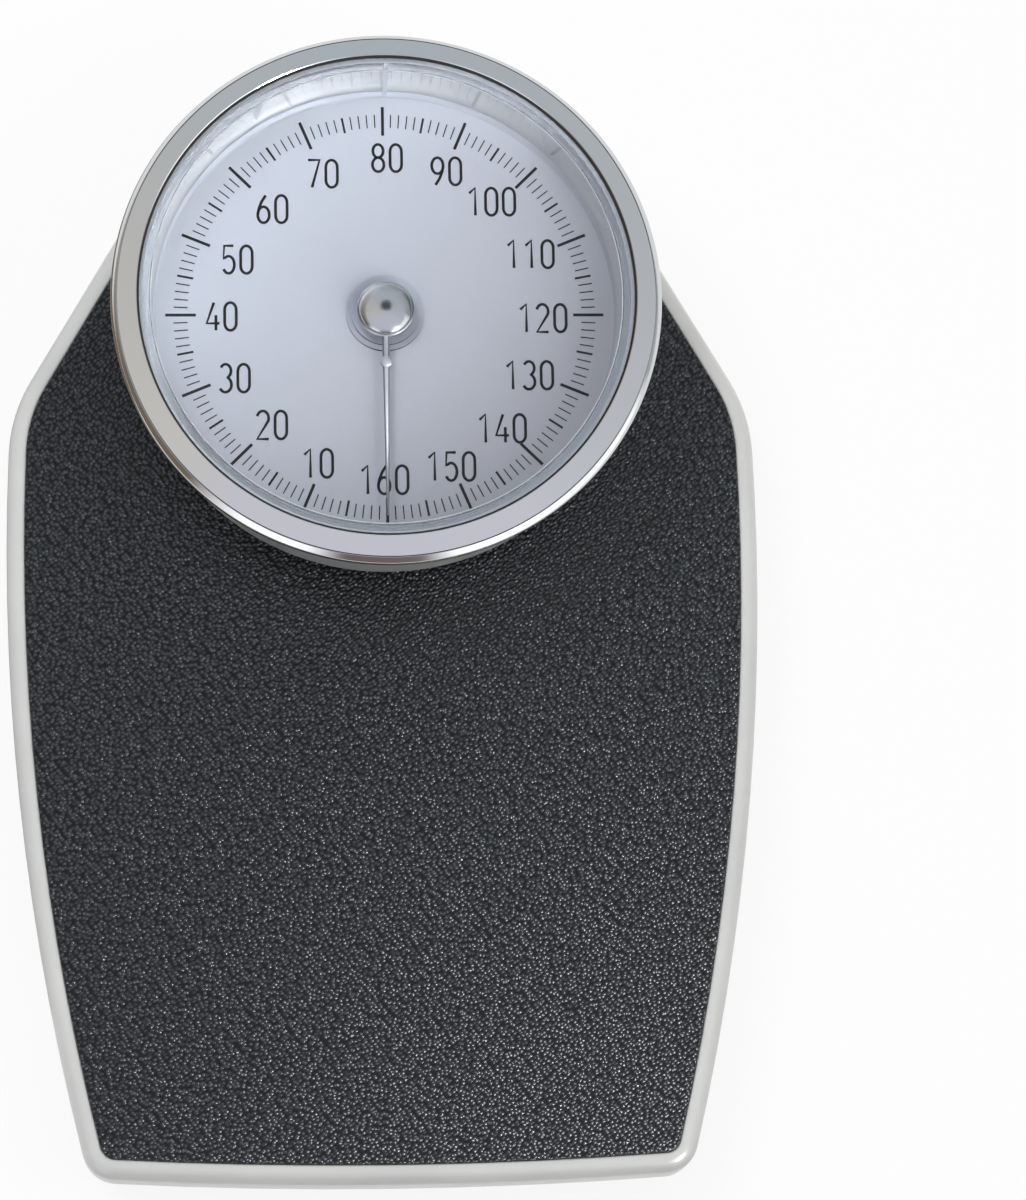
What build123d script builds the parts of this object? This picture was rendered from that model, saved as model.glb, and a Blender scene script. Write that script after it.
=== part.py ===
from build123d import *
import math
import os

os.makedirs("parts", exist_ok=True)

# Mechanical bathroom scale with a large round dial.
# X runs to the right, Y from the heel edge to the dial, Z up from the floor, in millimetres.

# Plan outline
platform_width = 290.0
platform_length = 430.0
head_setback = 104.5
nose_radius = 118.6
shoulder_angle = 29.8
shoulder_round = 62.0
side_radius = 962.0
waist_drop = 75.0
heel_radius = 1650.0
heel_round = 13.0

# Base tray, feet and rivets
foot_height = 6.0
foot_radius = 12.0
foot_recess_radius = 5.5
foot_recess_depth = 3.0
heel_foot_x = 80.0
heel_foot_margin = 24.0
nose_foot_x = 60.0
nose_foot_margin = 50.0
tray_inset = 4.5
tray_sheet = 1.2
tray_depth = 24.0
tray_roll = 5.0
rivet_radius = 2.0
rivet_head_radius = 3.5
rivet_head_height = 1.2

# Platform pressing and tread mat
skirt_clearance = 16.0
platform_height = 41.0
platform_sheet = 1.2
edge_roll = 6.0
rim_width = 7.0
mat_recess = 0.8
mat_thickness = 2.0
mat_round = 0.8
mat_clearance = 0.2

# Neck column
neck_radius = 62.0
neck_sheet = 2.0
neck_foot_radius = 72.0
neck_lip_radius = 50.0
neck_gap = 4.0
mat_neck_gap = 6.0
head_clearance = 13.0
window_half_width = 54.0
window_height = 25.0
window_depth = 31.0
neck_screw_circle = 67.0
neck_screw_count = 6

# Head housing, dial and lens
housing_radius = 96.0
housing_wall = 2.0
housing_roll = 8.0
housing_hole_radius = 52.0
housing_depth = 52.0
housing_lip_radius = 91.8
housing_lip_depth = 2.0
dial_drop = 28.0
ledge_radius = 86.0
ledge_thickness = 2.0
dial_radius = 91.5
dial_sheet = 1.0
dial_hole_radius = 6.5
lens_thickness = 2.5
lens_foot_radius = 87.0
lens_draft = 2.0
lens_flange_radius = 94.6
seal_thickness = 0.6
seal_radius = 92.8
seal_width = 1.6

# Chrome bezel
bezel_radius = 103.5
bezel_opening = 93.6
bezel_skirt = 15.0
bezel_fit = 0.2
bezel_sheet = 1.0
bezel_rise = 0.8
flare_width = 1.4
flare_height = 5.0
crease_radius = 101.4
crease_drop = 3.3
crease_depth = 0.4
lip_height = 5.4

# Levers
lever_sheet = 3.0
lever_tail = 9.0
lever_tail_half = 5.0
lever_rise = 7.0
lever_belly = 6.5
lever_waist = 5.0
lever_taper = 20.0
nose_rise = 8.0
nose_overhang = 4.0
nose_edge = 2.0
short_nose_half = 4.0
short_nose_overhang = 3.0
short_bend_rise = 10.0
pin_radius = 2.0
pin_fit = 0.05
pin_overhang = 0.5
pivot_height = 20.0
load_arm = 26.0
long_pivot_x = 90.0
long_pivot_margin = 50.0
long_nose_x = 24.0
cross_arm = 115.0
short_pivot_x = 98.0
short_offset = 7.0
seat_gap = 0.3
bracket_sheet = 2.0
ear_inside = 7.0
ear_round = 6.0
bracket_half_width = 11.0
bracket_half_length = 16.0
bracket_rivet_offset = 12.0
stirrup_inside = 6.0
stirrup_half_length = 7.0
stirrup_hook = 4.0

# Dial mechanism
pinion_teeth = 20
gear_module = 0.5
tooth_backlash = 0.12
pinion_height = 5.0
rack_height = 4.0
rack_depth = 3.6
rack_centre = 66.0
rack_clearance = 0.2
rack_tail = 3.5
guide_wall = 2.5
guide_lid = 2.0
guide_length = 11.0
guide_starts = (-22.5, 7.5)
pinion_hub_radius = 3.0
chassis_radius = 68.0
chassis_sheet = 1.5
tongue_half_width = 10.0
head_screw_circle = 57.0
head_screw_count = 6
screw_radius = 2.0
screw_head_radius = 4.0
screw_head_height = 2.0
spindle_radius = 1.5
spindle_fit = 0.04
spindle_in_cap = 2.0
spindle_end_gap = 0.2
bushing_radius = 4.0
bushing_flange = 6.0
bushing_flange_height = 1.5
bridge_height = 17.0
bridge_half_span = 24.0
bridge_foot = 8.0
bridge_depth = 16.0
spring_offset = 49.5
crank_offset = 12.0
crank_plane = 13.0
crank_sheet = 1.5
crank_height = 35.8
crank_short_arm = 12.35
crank_width = 8.0
crank_slot_play = 0.6
crank_slot_end = 0.8
crank_end_margin = 2.0
crank_pin_radius = 1.5
link_radius = 1.2
link_overhang = 5.0
stud_length = 2.8
stud_play = 0.4
ear_gap = 1.5
far_ear_gap = 4.0
ear_sheet = 1.5
ear_margin = 4.5
ear_foot_start = 5.5
ear_foot_length = 10.0
ear_shoulder = 8.0
sweep_margin = 3.0

# Springs
spring_radius = 6.0
spring_wire = 1.0
spring_length = 20.0
hook_radius = 3.0
hook_hole = 2.0
hook_lift = 4.5
hook_neck = 4.1
hook_seat = 0.4
tab_half_sheet = 1.0
tab_half_width = 3.5
tab_edge = 0.6
spring_opening = 11.0
plate_side = 3.0
plate_reach = 7.0
rack_spring_radius = 2.2
rack_spring_wire = 0.5
rack_spring_lead = 8.0
post_radius = 2.0
post_offset = 52.5
post_side = 3.0
post_rise = 3.0

# Zero adjustment
wheel_offset = 79.0
wheel_radius = 21.0
wheel_thickness = 5.0
wheel_seat_height = 5.5
wheel_seat_radius = 6.5
wheel_gap = 0.1
wheel_grooves = 36
groove_width = 1.4
thread_radius = 3.0
thread_fit = 0.05
thread_clearance = 0.3
slot_clearance = 1.3
slot_inset = 4.0
slot_setback = 8.0
guide_x = 17.0
guide_offset = 60.5
guide_radius = 2.5
guide_fit = 0.08
hanger_sheet = 2.5
hanger_rise = 16.0
hanger_side = 4.0
hanger_edge = 5.0
hanger_tongue = 6.0
stud_end_gap = 0.2

# Pointer and hub
boss_radius = 15.0
boss_step_radius = 13.1
boss_height = 3.0
boss_step_height = 1.6
boss_gap = 2.0
pointer_reach = 80.0
pointer_width = 3.1
pointer_tip_width = 0.9
pointer_sheet = 1.0
pointer_bevel = 0.25
pointer_hub_radius = 9.3
pointer_node = 20.0
pointer_node_radius = 2.2
cap_radius = 9.0
cap_height = 7.0
cap_rim_radius = 10.8
cap_rim_height = 1.3
cap_rim_round = 0.5

# Heights and places that follow from the sizes above
head_y = platform_length / 2 - head_setback
heel_y = -platform_length / 2
tray_floor = foot_height + tray_sheet
skirt_bottom = foot_height + skirt_clearance
mat_floor = platform_height - mat_recess
mat_top = mat_floor + mat_thickness
deck_underside = mat_floor - platform_sheet
neck_top = mat_top + head_clearance - 0.2
housing_floor = neck_top + housing_wall
housing_top = neck_top + housing_depth
dial_face = housing_top - dial_drop + dial_sheet
lens_top = housing_top + lens_thickness
bezel_lip = lens_top + seal_thickness
bezel_top = bezel_lip + bezel_rise
chassis_top = housing_floor + chassis_sheet
long_pivot_y = heel_y + long_pivot_margin
nose_y = head_y + spring_offset
long_arm = nose_y - long_pivot_y
cross_y = long_pivot_y + cross_arm
short_pivot_y = cross_y + cross_arm
pinion_radius = pinion_teeth * gear_module / 2
crank_y = nose_y - crank_offset
crank_z = rack_centre - crank_height
rack_travel = 2 * math.pi * pinion_radius
half_swing = math.atan(rack_travel / 2 / crank_height)
spring_travel = 2 * crank_short_arm * math.sin(half_swing)
lever_travel = spring_travel / long_arm
wheel_y = head_y + wheel_offset
wheel_low = chassis_top + wheel_seat_height + wheel_gap


def rod(radius, start, end):
    """Round bar from one point to another."""
    axis = Vector(*end) - Vector(*start)
    return extrude(Plane(start, z_dir=axis) * Circle(radius), axis.length)


def block(x, y, z):
    """Box between a low and a high limit in each direction."""
    size = Box(x[1] - x[0], y[1] - y[0], z[1] - z[0])
    return Pos(sum(x) / 2, sum(y) / 2, sum(z) / 2) * size


def turned(corners, rounds=()):
    """Piece turned about the head axis from (radius, height) corners.

    Each entry of rounds gives a corner's number and the radius that softens it.
    """
    profile = make_face(Polyline(*corners, close=True))
    for number, radius in rounds:
        place = Vector(*corners[number])
        corner = profile.vertices().sort_by_distance(place)[0]
        profile = fillet(corner, radius)
    return Pos(0, head_y, 0) * revolve(Plane.XZ * profile, Axis.Z)


def ring_places(radius, count):
    """Plan points evenly round the head axis."""
    turns = [2 * math.pi * number / count for number in range(count)]
    return [(radius * math.cos(turn), head_y + radius * math.sin(turn)) for turn in turns]


def rivet(x, y, low, high):
    """Rivet that clamps sheets between two heights."""
    shank = rod(rivet_radius, (x, y, low), (x, y, high))
    bottom = rod(rivet_head_radius, (x, y, low - rivet_head_height), (x, y, low))
    top = rod(rivet_head_radius, (x, y, high), (x, y, high + rivet_head_height))
    return bottom + shank + top


def screw(x, y, head, tip):
    """Screw whose head bears at one height and whose shank ends at another."""
    outward = math.copysign(screw_head_height, head - tip)
    shank = rod(screw_radius, (x, y, tip), (x, y, head))
    return shank + rod(screw_head_radius, (x, y, head), (x, y, head + outward))


def keep(name, *pieces):
    """Write one piece, or a group of like pieces, under its name."""
    solids = [solid for piece in pieces for solid in piece.solids()]
    part = solids[0] if len(solids) == 1 else Compound(children=solids)
    part.label = name
    export_step(part, f"parts/{name}.step")


def outline(inset):
    """Plan outline of the platform, drawn inside its widest edge.

    A round nose under the head, two straight shoulders, two long bowed
    sides and a slightly bowed heel.
    """
    nose = nose_radius - inset
    side = side_radius - inset
    heel = heel_radius - inset
    nose_centre = Vector(0, platform_length / 2 - nose_radius)
    side_centre = Vector(platform_width / 2 - side_radius, head_y - waist_drop)
    heel_centre = Vector(0, heel_y + heel_radius)
    lean = math.radians(shoulder_angle)
    outward = Vector(math.cos(lean), math.sin(lean))
    along = Vector(outward.Y, -outward.X)
    tangent = nose_centre + outward * nose
    offset = tangent - side_centre
    ahead = offset.dot(along)
    reach = math.sqrt(ahead**2 - offset.dot(offset) + side**2) - ahead
    shoulder = tangent + along * reach
    between = heel_centre - side_centre
    spread = between.length
    near = (side**2 - heel**2 + spread**2) / (2 * spread)
    aside = math.sqrt(side**2 - near**2)
    forward = between.normalized()
    corner = side_centre + forward * near + Vector(forward.Y, -forward.X) * aside
    waist = side_centre + Vector(side, 0)

    def opposite(point):
        return Vector(-point.X, point.Y)

    edges = [
        ThreePointArc(opposite(tangent), nose_centre + Vector(0, nose), tangent),
        Line(tangent, shoulder),
        ThreePointArc(shoulder, waist, corner),
        ThreePointArc(corner, Vector(0, heel_y + inset), opposite(corner)),
        ThreePointArc(opposite(corner), opposite(waist), opposite(shoulder)),
        Line(opposite(shoulder), opposite(tangent)),
    ]
    face = Sketch() + make_face(edges)
    for place, radius in ((shoulder, shoulder_round), (corner, heel_round)):
        for point in (place, opposite(place)):
            vertex = face.vertices().sort_by_distance(point)[0]
            face = fillet(vertex, radius - inset)
    return face


def slab(inset, low, high):
    """Solid over the outline between two heights."""
    return extrude(Pos(0, 0, low) * outline(inset), high - low)


def pressed_slab(inset, low, high, roll, top):
    """The same with the edge of its top, or of its bottom, rolled over."""
    body = slab(inset, low, high)
    layers = body.edges().group_by(Axis.Z)
    return fillet(layers[-1 if top else 0], roll)


def fulcrum_places():
    """Plan points of the four lever pivots."""
    corners = ((long_pivot_x, long_pivot_y), (short_pivot_x, short_pivot_y))
    return [(side * x, y) for x, y in corners for side in (-1, 1)]


def long_lever_x(y):
    """Distance of the long lever's middle plane from the centre line."""
    share = (y - long_pivot_y) / long_arm
    return long_pivot_x + (long_nose_x - long_pivot_x) * share


def short_lever_x(y):
    """Distance of the short lever's middle plane from the centre line."""
    share = (short_pivot_y - y) / cross_arm
    tip = long_lever_x(cross_y) + short_offset
    return short_pivot_x + (tip - short_pivot_x) * share


def load_places():
    """Plan points where the platform bears on the four levers."""
    long_y = long_pivot_y + load_arm
    short_y = short_pivot_y - load_arm
    corners = ((long_lever_x(long_y), long_y), (short_lever_x(short_y), short_y))
    return [(side * x, y) for x, y in corners for side in (-1, 1)]


def foot_places():
    """Plan points of the four rubber feet."""
    corners = ((heel_foot_x, heel_y + heel_foot_margin),
               (nose_foot_x, platform_length / 2 - nose_foot_margin))
    return [(side * x, y) for x, y in corners for side in (-1, 1)]


def bracket_rivet_places():
    """Plan points of the two rivets in each fulcrum bracket."""
    ends = (-bracket_rivet_offset, bracket_rivet_offset)
    return [(x, y + end) for x, y in fulcrum_places() for end in ends]


def base_tray():
    """Pressed steel tray, open at the top, that carries everything."""
    top = foot_height + tray_depth
    tray = pressed_slab(tray_inset, foot_height, top, tray_roll, top=False)
    inner = tray_inset + tray_sheet
    tray -= pressed_slab(inner, tray_floor, top, tray_roll - tray_sheet, top=False)
    for x, y in foot_places() + bracket_rivet_places():
        tray -= rod(rivet_radius, (x, y, foot_height), (x, y, tray_floor))
    for x, y in ring_places(neck_screw_circle, neck_screw_count):
        tray -= rod(screw_radius, (x, y, foot_height), (x, y, tray_floor))
    return tray


def rubber_feet():
    """Four round rubber feet, each with a recess for its rivet."""
    foot = Pos(0, 0, foot_height / 2) * Cylinder(foot_radius, foot_height)
    foot = chamfer(foot.edges().group_by(Axis.Z)[0], 1)
    foot -= rod(foot_recess_radius, (0, 0, 0), (0, 0, foot_recess_depth))
    foot -= rod(rivet_radius, (0, 0, 0), (0, 0, foot_height))
    return [Pos(x, y, 0) * foot for x, y in foot_places()]


def foot_rivets():
    return [rivet(x, y, foot_recess_depth, tray_floor) for x, y in foot_places()]


def fulcrum_brackets():
    """Riveted sheet brackets whose ears carry the lever pivots."""
    base_top = tray_floor + bracket_sheet
    base = block((-bracket_half_width, bracket_half_width),
                 (-bracket_half_length, bracket_half_length), (tray_floor, base_top))
    for end in (-bracket_rivet_offset, bracket_rivet_offset):
        base -= rod(rivet_radius, (0, end, tray_floor), (0, end, base_top))
    ear = Pos(0, pivot_height) * Circle(ear_round)
    upright = (pivot_height - tray_floor) / 2
    ear += Pos(0, tray_floor + upright) * Rectangle(2 * ear_round, 2 * upright)
    ear -= Pos(0, pivot_height) * Circle(pin_radius + pin_fit)
    for side in (-1, 1):
        start = ear_inside if side > 0 else -ear_inside - bracket_sheet
        base += extrude(Plane.YZ.offset(start) * ear, bracket_sheet)
    return [Pos(x, y, 0) * base for x, y in fulcrum_places()]


def fulcrum_rivets():
    top = tray_floor + bracket_sheet
    return [rivet(x, y, foot_height, top) for x, y in bracket_rivet_places()]


def lever_bar(pivot, tip, corners):
    """Flat bar on edge from a pivot towards a tip, both plan points.

    Corners give the distance along Y from the pivot, and the height.
    """
    run = Vector(*tip) - Vector(*pivot)
    heading = run.normalized()
    stretch = run.length / abs(run.Y)
    plane = Plane(Vector(*pivot), x_dir=heading, z_dir=heading.cross(Vector(0, 0, 1)))
    side_view = Polyline(*[(along * stretch, height) for along, height in corners], close=True)
    return extrude(plane * make_face(side_view), lever_sheet / 2, both=True)


def cross_pin(x, y, z, half_length):
    """Lever pin that lies along X."""
    return rod(pin_radius, (x - half_length, y, z), (x + half_length, y, z))


def long_lever(side):
    """Long lever from a heel corner to the spring, and its two pins."""
    top = pivot_height + lever_rise
    belly = pivot_height - lever_belly
    nose_top = pivot_height + nose_rise
    nose_end = long_arm + nose_overhang
    corners = [(-lever_tail, pivot_height - lever_tail_half),
               (-lever_tail, pivot_height + lever_tail_half), (0, top), (cross_arm, top),
               (long_arm - lever_taper, nose_top), (nose_end - 1, nose_top),
               (nose_end, pivot_height + nose_edge), (long_arm, pivot_height),
               (long_arm - lever_taper, pivot_height),
               (cross_arm, pivot_height - lever_waist), (lever_taper, belly), (0, belly)]
    pivot = (side * long_pivot_x, long_pivot_y)
    tip = (side * long_nose_x, nose_y)
    load_y = long_pivot_y + load_arm
    load_x = side * long_lever_x(load_y)
    pin_end = ear_inside + bracket_sheet + pin_overhang
    pins = [cross_pin(pivot[0], long_pivot_y, pivot_height, pin_end),
            cross_pin(load_x, load_y, pivot_height, pin_end)]
    bar = lever_bar(pivot, tip, corners)
    for pin in pins:
        bar -= pin
    return bar, pins


def short_lever(side):
    """Short lever from beside the head to the long lever, and its pins."""
    end = cross_arm + short_nose_overhang
    middle = cross_arm / 2
    top = pivot_height + lever_rise
    belly = pivot_height - lever_belly
    nose_height = top + pin_radius + seat_gap
    corners = [(-lever_tail, pivot_height - lever_tail_half),
               (-lever_tail, pivot_height + lever_tail_half), (0, top),
               (middle, pivot_height + short_bend_rise), (end, nose_height + short_nose_half),
               (end, nose_height - short_nose_half), (middle, pivot_height),
               (lever_taper, belly), (0, belly)]
    pivot = (side * short_pivot_x, short_pivot_y)
    tip_x = side * short_lever_x(cross_y)
    load_y = short_pivot_y - load_arm
    load_x = side * short_lever_x(load_y)
    pin_end = ear_inside + bracket_sheet + pin_overhang
    inner = tip_x - side * (short_offset + lever_sheet)
    outer = tip_x + side * lever_sheet
    pins = [cross_pin(pivot[0], short_pivot_y, pivot_height, pin_end),
            cross_pin(load_x, load_y, pivot_height, pin_end),
            rod(pin_radius, (inner, cross_y, nose_height), (outer, cross_y, nose_height))]
    bar = lever_bar(pivot, (tip_x, cross_y), corners)
    for pin in pins:
        bar -= pin
    return bar, pins


def load_brackets():
    """Stirrups welded under the platform that hook over the load pins."""
    low = pivot_height - stirrup_hook
    outside = stirrup_inside + bracket_sheet
    length = (-stirrup_half_length, stirrup_half_length)
    stirrup = block((-outside, outside), length, (low, deck_underside))
    stirrup -= block((-stirrup_inside, stirrup_inside), length,
                     (low, deck_underside - bracket_sheet))
    notch = pin_radius + seat_gap
    stirrup -= rod(notch, (-outside, 0, pivot_height), (outside, 0, pivot_height))
    stirrup -= block((-outside, outside), (-notch, notch), (low, pivot_height))
    return [Pos(x, y, 0) * stirrup for x, y in load_places()]


def platform_plate():
    """Pressed steel platform with a rolled edge and a recess for the mat."""
    outer = pressed_slab(0, skirt_bottom, platform_height, edge_roll, top=True)
    ceiling = platform_height - platform_sheet
    inner_roll = edge_roll - platform_sheet
    cavity = pressed_slab(platform_sheet, skirt_bottom, ceiling, inner_roll, top=True)
    cavity -= slab(rim_width - platform_sheet, deck_underside, platform_height)
    plate = outer - cavity - slab(rim_width, mat_floor, platform_height)
    hole = neck_radius + neck_gap
    return plate - rod(hole, (0, head_y, skirt_bottom), (0, head_y, platform_height))


def tread_mat():
    """Ribbed vinyl mat glued into the recess of the platform."""
    mat = pressed_slab(rim_width + mat_clearance, mat_floor, mat_top, mat_round, top=True)
    hole = neck_radius + mat_neck_gap
    return mat - rod(hole, (0, head_y, mat_floor), (0, head_y, mat_top))


def mechanism_opening(low, high):
    """Space through a plate for the main spring and for the crank's sweep."""
    opening = rod(spring_opening, (0, nose_y, low), (0, nose_y, high))
    west, east = crank_ear_planes()
    tilt = (housing_floor - crank_z) * math.tan(half_swing)
    sweep = crank_width / 2 + tilt + sweep_margin
    south = crank_y - sweep - 2 * sweep_margin
    opening += block((west, east), (south, crank_y + sweep), (low, high))
    return opening


def neck_column():
    """Steel column between the tray and the head, open to the levers."""
    foot_top = tray_floor + neck_sheet
    inside = neck_radius - neck_sheet
    column = turned([(inside, tray_floor), (neck_foot_radius, tray_floor),
                     (neck_foot_radius, foot_top), (neck_radius, foot_top),
                     (neck_radius, neck_top), (neck_lip_radius, neck_top),
                     (neck_lip_radius, neck_top - neck_sheet), (inside, neck_top - neck_sheet)])
    column -= block((-window_half_width, window_half_width),
                    (head_y - neck_radius, head_y - neck_radius + window_depth),
                    (foot_top, foot_top + window_height))
    column -= mechanism_opening(neck_top - neck_sheet, neck_top)
    for x, y in ring_places(neck_screw_circle, neck_screw_count):
        column -= rod(screw_radius, (x, y, tray_floor), (x, y, foot_top))
    for x, y in ring_places(head_screw_circle, head_screw_count):
        column -= rod(screw_radius, (x, y, neck_top - neck_sheet), (x, y, neck_top))
    return column


def neck_screws():
    top = tray_floor + neck_sheet
    places = ring_places(neck_screw_circle, neck_screw_count)
    return [screw(x, y, foot_height, top) for x, y in places]


def head_housing():
    """Deep round drum with a ledge for the dial and a slot for the wheel."""
    inside = housing_radius - housing_wall
    ledge_top = dial_face - dial_sheet
    ledge_low = ledge_top - ledge_thickness
    slope = inside - ledge_radius
    lip_low = housing_top - housing_lip_depth
    lip_width = inside - housing_lip_radius
    drum = turned([(housing_hole_radius, neck_top), (housing_radius, neck_top),
                   (housing_radius, housing_top), (housing_lip_radius, housing_top),
                   (housing_lip_radius, lip_low), (inside, lip_low - lip_width),
                   (inside, ledge_top), (ledge_radius, ledge_top),
                   (ledge_radius, ledge_low), (inside, ledge_low - slope),
                   (inside, housing_floor), (housing_hole_radius, housing_floor)],
                  rounds=((1, housing_roll), (10, housing_roll - housing_wall)))
    slot_half = wheel_radius - slot_inset
    drum -= block((-slot_half, slot_half),
                  (wheel_y + slot_setback, head_y + housing_radius),
                  (wheel_low - slot_clearance, wheel_low + wheel_thickness + slot_clearance))
    drum -= mechanism_opening(neck_top, housing_floor)
    for x, y in ring_places(head_screw_circle, head_screw_count):
        drum -= rod(screw_radius, (x, y, neck_top), (x, y, housing_floor))
    return drum


def bezel_ring():
    """Chrome sheet ring: a sloping band, a crease, a rounded lip and a skirt."""
    inside = housing_radius + bezel_fit
    low = housing_top - bezel_skirt
    flare = inside + bezel_sheet + flare_width
    crease = bezel_top - crease_drop
    lip_low = crease - lip_height
    inner_lip = bezel_radius - bezel_sheet
    outer = [(inside, low), (inside + bezel_sheet, low), (flare, low + flare_height),
             (bezel_radius, lip_low), (bezel_radius, crease),
             (crease_radius + crease_depth / 2, crease),
             (crease_radius, crease - crease_depth),
             (crease_radius - crease_depth / 2, crease + crease_depth / 2),
             (bezel_opening + bezel_fit, bezel_top), (bezel_opening, bezel_top - bezel_fit)]
    inner = [(bezel_opening, bezel_lip), (seal_radius + seal_width + bezel_fit, bezel_lip),
             (crease_radius - crease_depth, crease - bezel_sheet),
             (inner_lip, crease - 2 * bezel_sheet), (inner_lip, lip_low + crease_depth),
             (flare - bezel_sheet, low + flare_height)]
    return turned(outer + inner, rounds=((2, 4), (3, 2), (4, 1.8)))


def lens_seal():
    """Black ring between the lens and the bezel."""
    outside = seal_radius + seal_width
    return turned([(seal_radius, lens_top), (outside, lens_top),
                   (outside, bezel_lip), (seal_radius, bezel_lip)])


def dial_lens():
    """Clear moulded lens with a drafted skirt that stands on the dial."""
    flange = lens_flange_radius
    foot = lens_foot_radius + lens_thickness
    return turned([(0, lens_top), (flange, lens_top), (flange, housing_top),
                   (foot + lens_draft, housing_top), (foot, dial_face),
                   (lens_foot_radius, dial_face), (lens_foot_radius + lens_draft, housing_top),
                   (0, housing_top)])


def dial_plate():
    """Aluminium dial with a centre hole for the spindle."""
    low = dial_face - dial_sheet
    return turned([(dial_hole_radius, low), (dial_radius, low),
                   (dial_radius, dial_face), (dial_hole_radius, dial_face)])


def mechanism_chassis():
    """Round steel plate with a tongue, pierced for the crank and spring."""
    low = housing_floor
    plate = rod(chassis_radius, (0, head_y, low), (0, head_y, chassis_top))
    plate += block((-tongue_half_width, tongue_half_width),
                   (head_y, wheel_y + wheel_seat_radius), (low, chassis_top))
    plate -= mechanism_opening(low, chassis_top)
    plate -= rod(bushing_radius, (0, head_y, low), (0, head_y, chassis_top))
    for x, y in ring_places(head_screw_circle, head_screw_count) + bridge_screw_places():
        plate -= rod(screw_radius, (x, y, low), (x, y, chassis_top))
    plate -= rod(thread_radius + thread_clearance, (0, wheel_y, low), (0, wheel_y, chassis_top))
    return plate


def head_screws():
    places = ring_places(head_screw_circle, head_screw_count)
    return [screw(x, y, chassis_top, neck_top - neck_sheet) for x, y in places]


def bridge_screw_places():
    """Plan points of the screws in the bridge feet."""
    middle = bridge_half_span + bridge_foot / 2
    return [(side * middle, head_y) for side in (-1, 1)]


def spindle_bridge():
    """Hat-shaped bridge over the rack that holds the upper bushing."""
    top = chassis_top + bridge_height
    span = bridge_half_span
    foot = span + bridge_foot
    inner = span - chassis_sheet
    side_view = make_face(Polyline(
        (-foot, chassis_top), (-foot, chassis_top + chassis_sheet),
        (-span, chassis_top + chassis_sheet), (-span, top), (span, top),
        (span, chassis_top + chassis_sheet), (foot, chassis_top + chassis_sheet),
        (foot, chassis_top), (inner, chassis_top), (inner, top - chassis_sheet),
        (-inner, top - chassis_sheet), (-inner, chassis_top), close=True))
    plane = Plane.XZ.offset(-head_y)
    bridge = extrude(plane * side_view, bridge_depth / 2, both=True)
    bridge -= rod(bushing_radius, (0, head_y, top - chassis_sheet), (0, head_y, top))
    for x, y in bridge_screw_places():
        bridge -= rod(screw_radius, (x, y, chassis_top), (x, y, chassis_top + chassis_sheet))
    return bridge


def bridge_screws():
    head = chassis_top + chassis_sheet
    return [screw(x, y, head, housing_floor) for x, y in bridge_screw_places()]


def bushing(low):
    """Flanged brass bushing pressed into a plate whose underside is low."""
    shoulder = low + chassis_sheet
    top = shoulder + bushing_flange_height
    bore = spindle_radius + spindle_fit
    return turned([(bore, low), (bushing_radius, low), (bushing_radius, shoulder),
                   (bushing_flange, shoulder), (bushing_flange, top), (bore, top)])


def rack_guides():
    """Two channels, each side of the pinion, in which the rack slides."""
    back = -pinion_radius - gear_module - rack_depth
    low = rack_centre - rack_height / 2 - rack_clearance
    high = rack_centre + rack_height / 2 + rack_clearance
    front = -pinion_radius - 2 * gear_module
    profile = make_face(Polyline(
        (back - guide_wall, chassis_top), (front + 1, chassis_top), (front + 1, low),
        (back - rack_clearance, low), (back - rack_clearance, high), (front - 1, high),
        (front - 1, high + guide_lid), (back - guide_wall, high + guide_lid), close=True))
    planes = [Plane.XZ.offset(-head_y - start - guide_length) for start in guide_starts]
    return [extrude(plane * profile, guide_length) for plane in planes]


def gear_rack():
    """Straight rack with a plain tail towards the crank."""
    pitch = math.pi * gear_module
    tooth = pitch / 2 - tooth_backlash
    slope = math.tan(math.radians(20))
    tip = -pinion_radius + gear_module
    root = -pinion_radius - 1.25 * gear_module
    back = -pinion_radius - gear_module - rack_depth
    south = head_y - rack_travel - 5 * pitch
    tail = crank_y - rack_travel / 2
    low = rack_centre - rack_height / 2
    bar = block((back, root), (south, tail + rack_tail), (low, low + rack_height))
    first = head_y + 2 * pitch
    count = int(rack_travel / pitch + 0.5) + 4
    teeth = []
    for number in range(count + 1):
        middle = first - number * pitch
        wide = tooth / 2 + 1.25 * gear_module * slope
        narrow = tooth / 2 - gear_module * slope
        flank = make_face(Polyline((root, middle - wide), (tip, middle - narrow),
                                   (tip, middle + narrow), (root, middle + wide), close=True))
        teeth.append(extrude(Pos(0, 0, low) * flank, rack_height))
    bar = bar + teeth
    return bar - rack_pin()


def rack_pin():
    """Pin in the rack's tail that the crank and the return spring hold."""
    tail = crank_y - rack_travel / 2
    inner = -pinion_radius - gear_module - rack_depth / 2
    outer = -crank_plane - crank_sheet - link_overhang
    return rod(link_radius, (outer, tail, rack_centre), (inner, tail, rack_centre))


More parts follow.
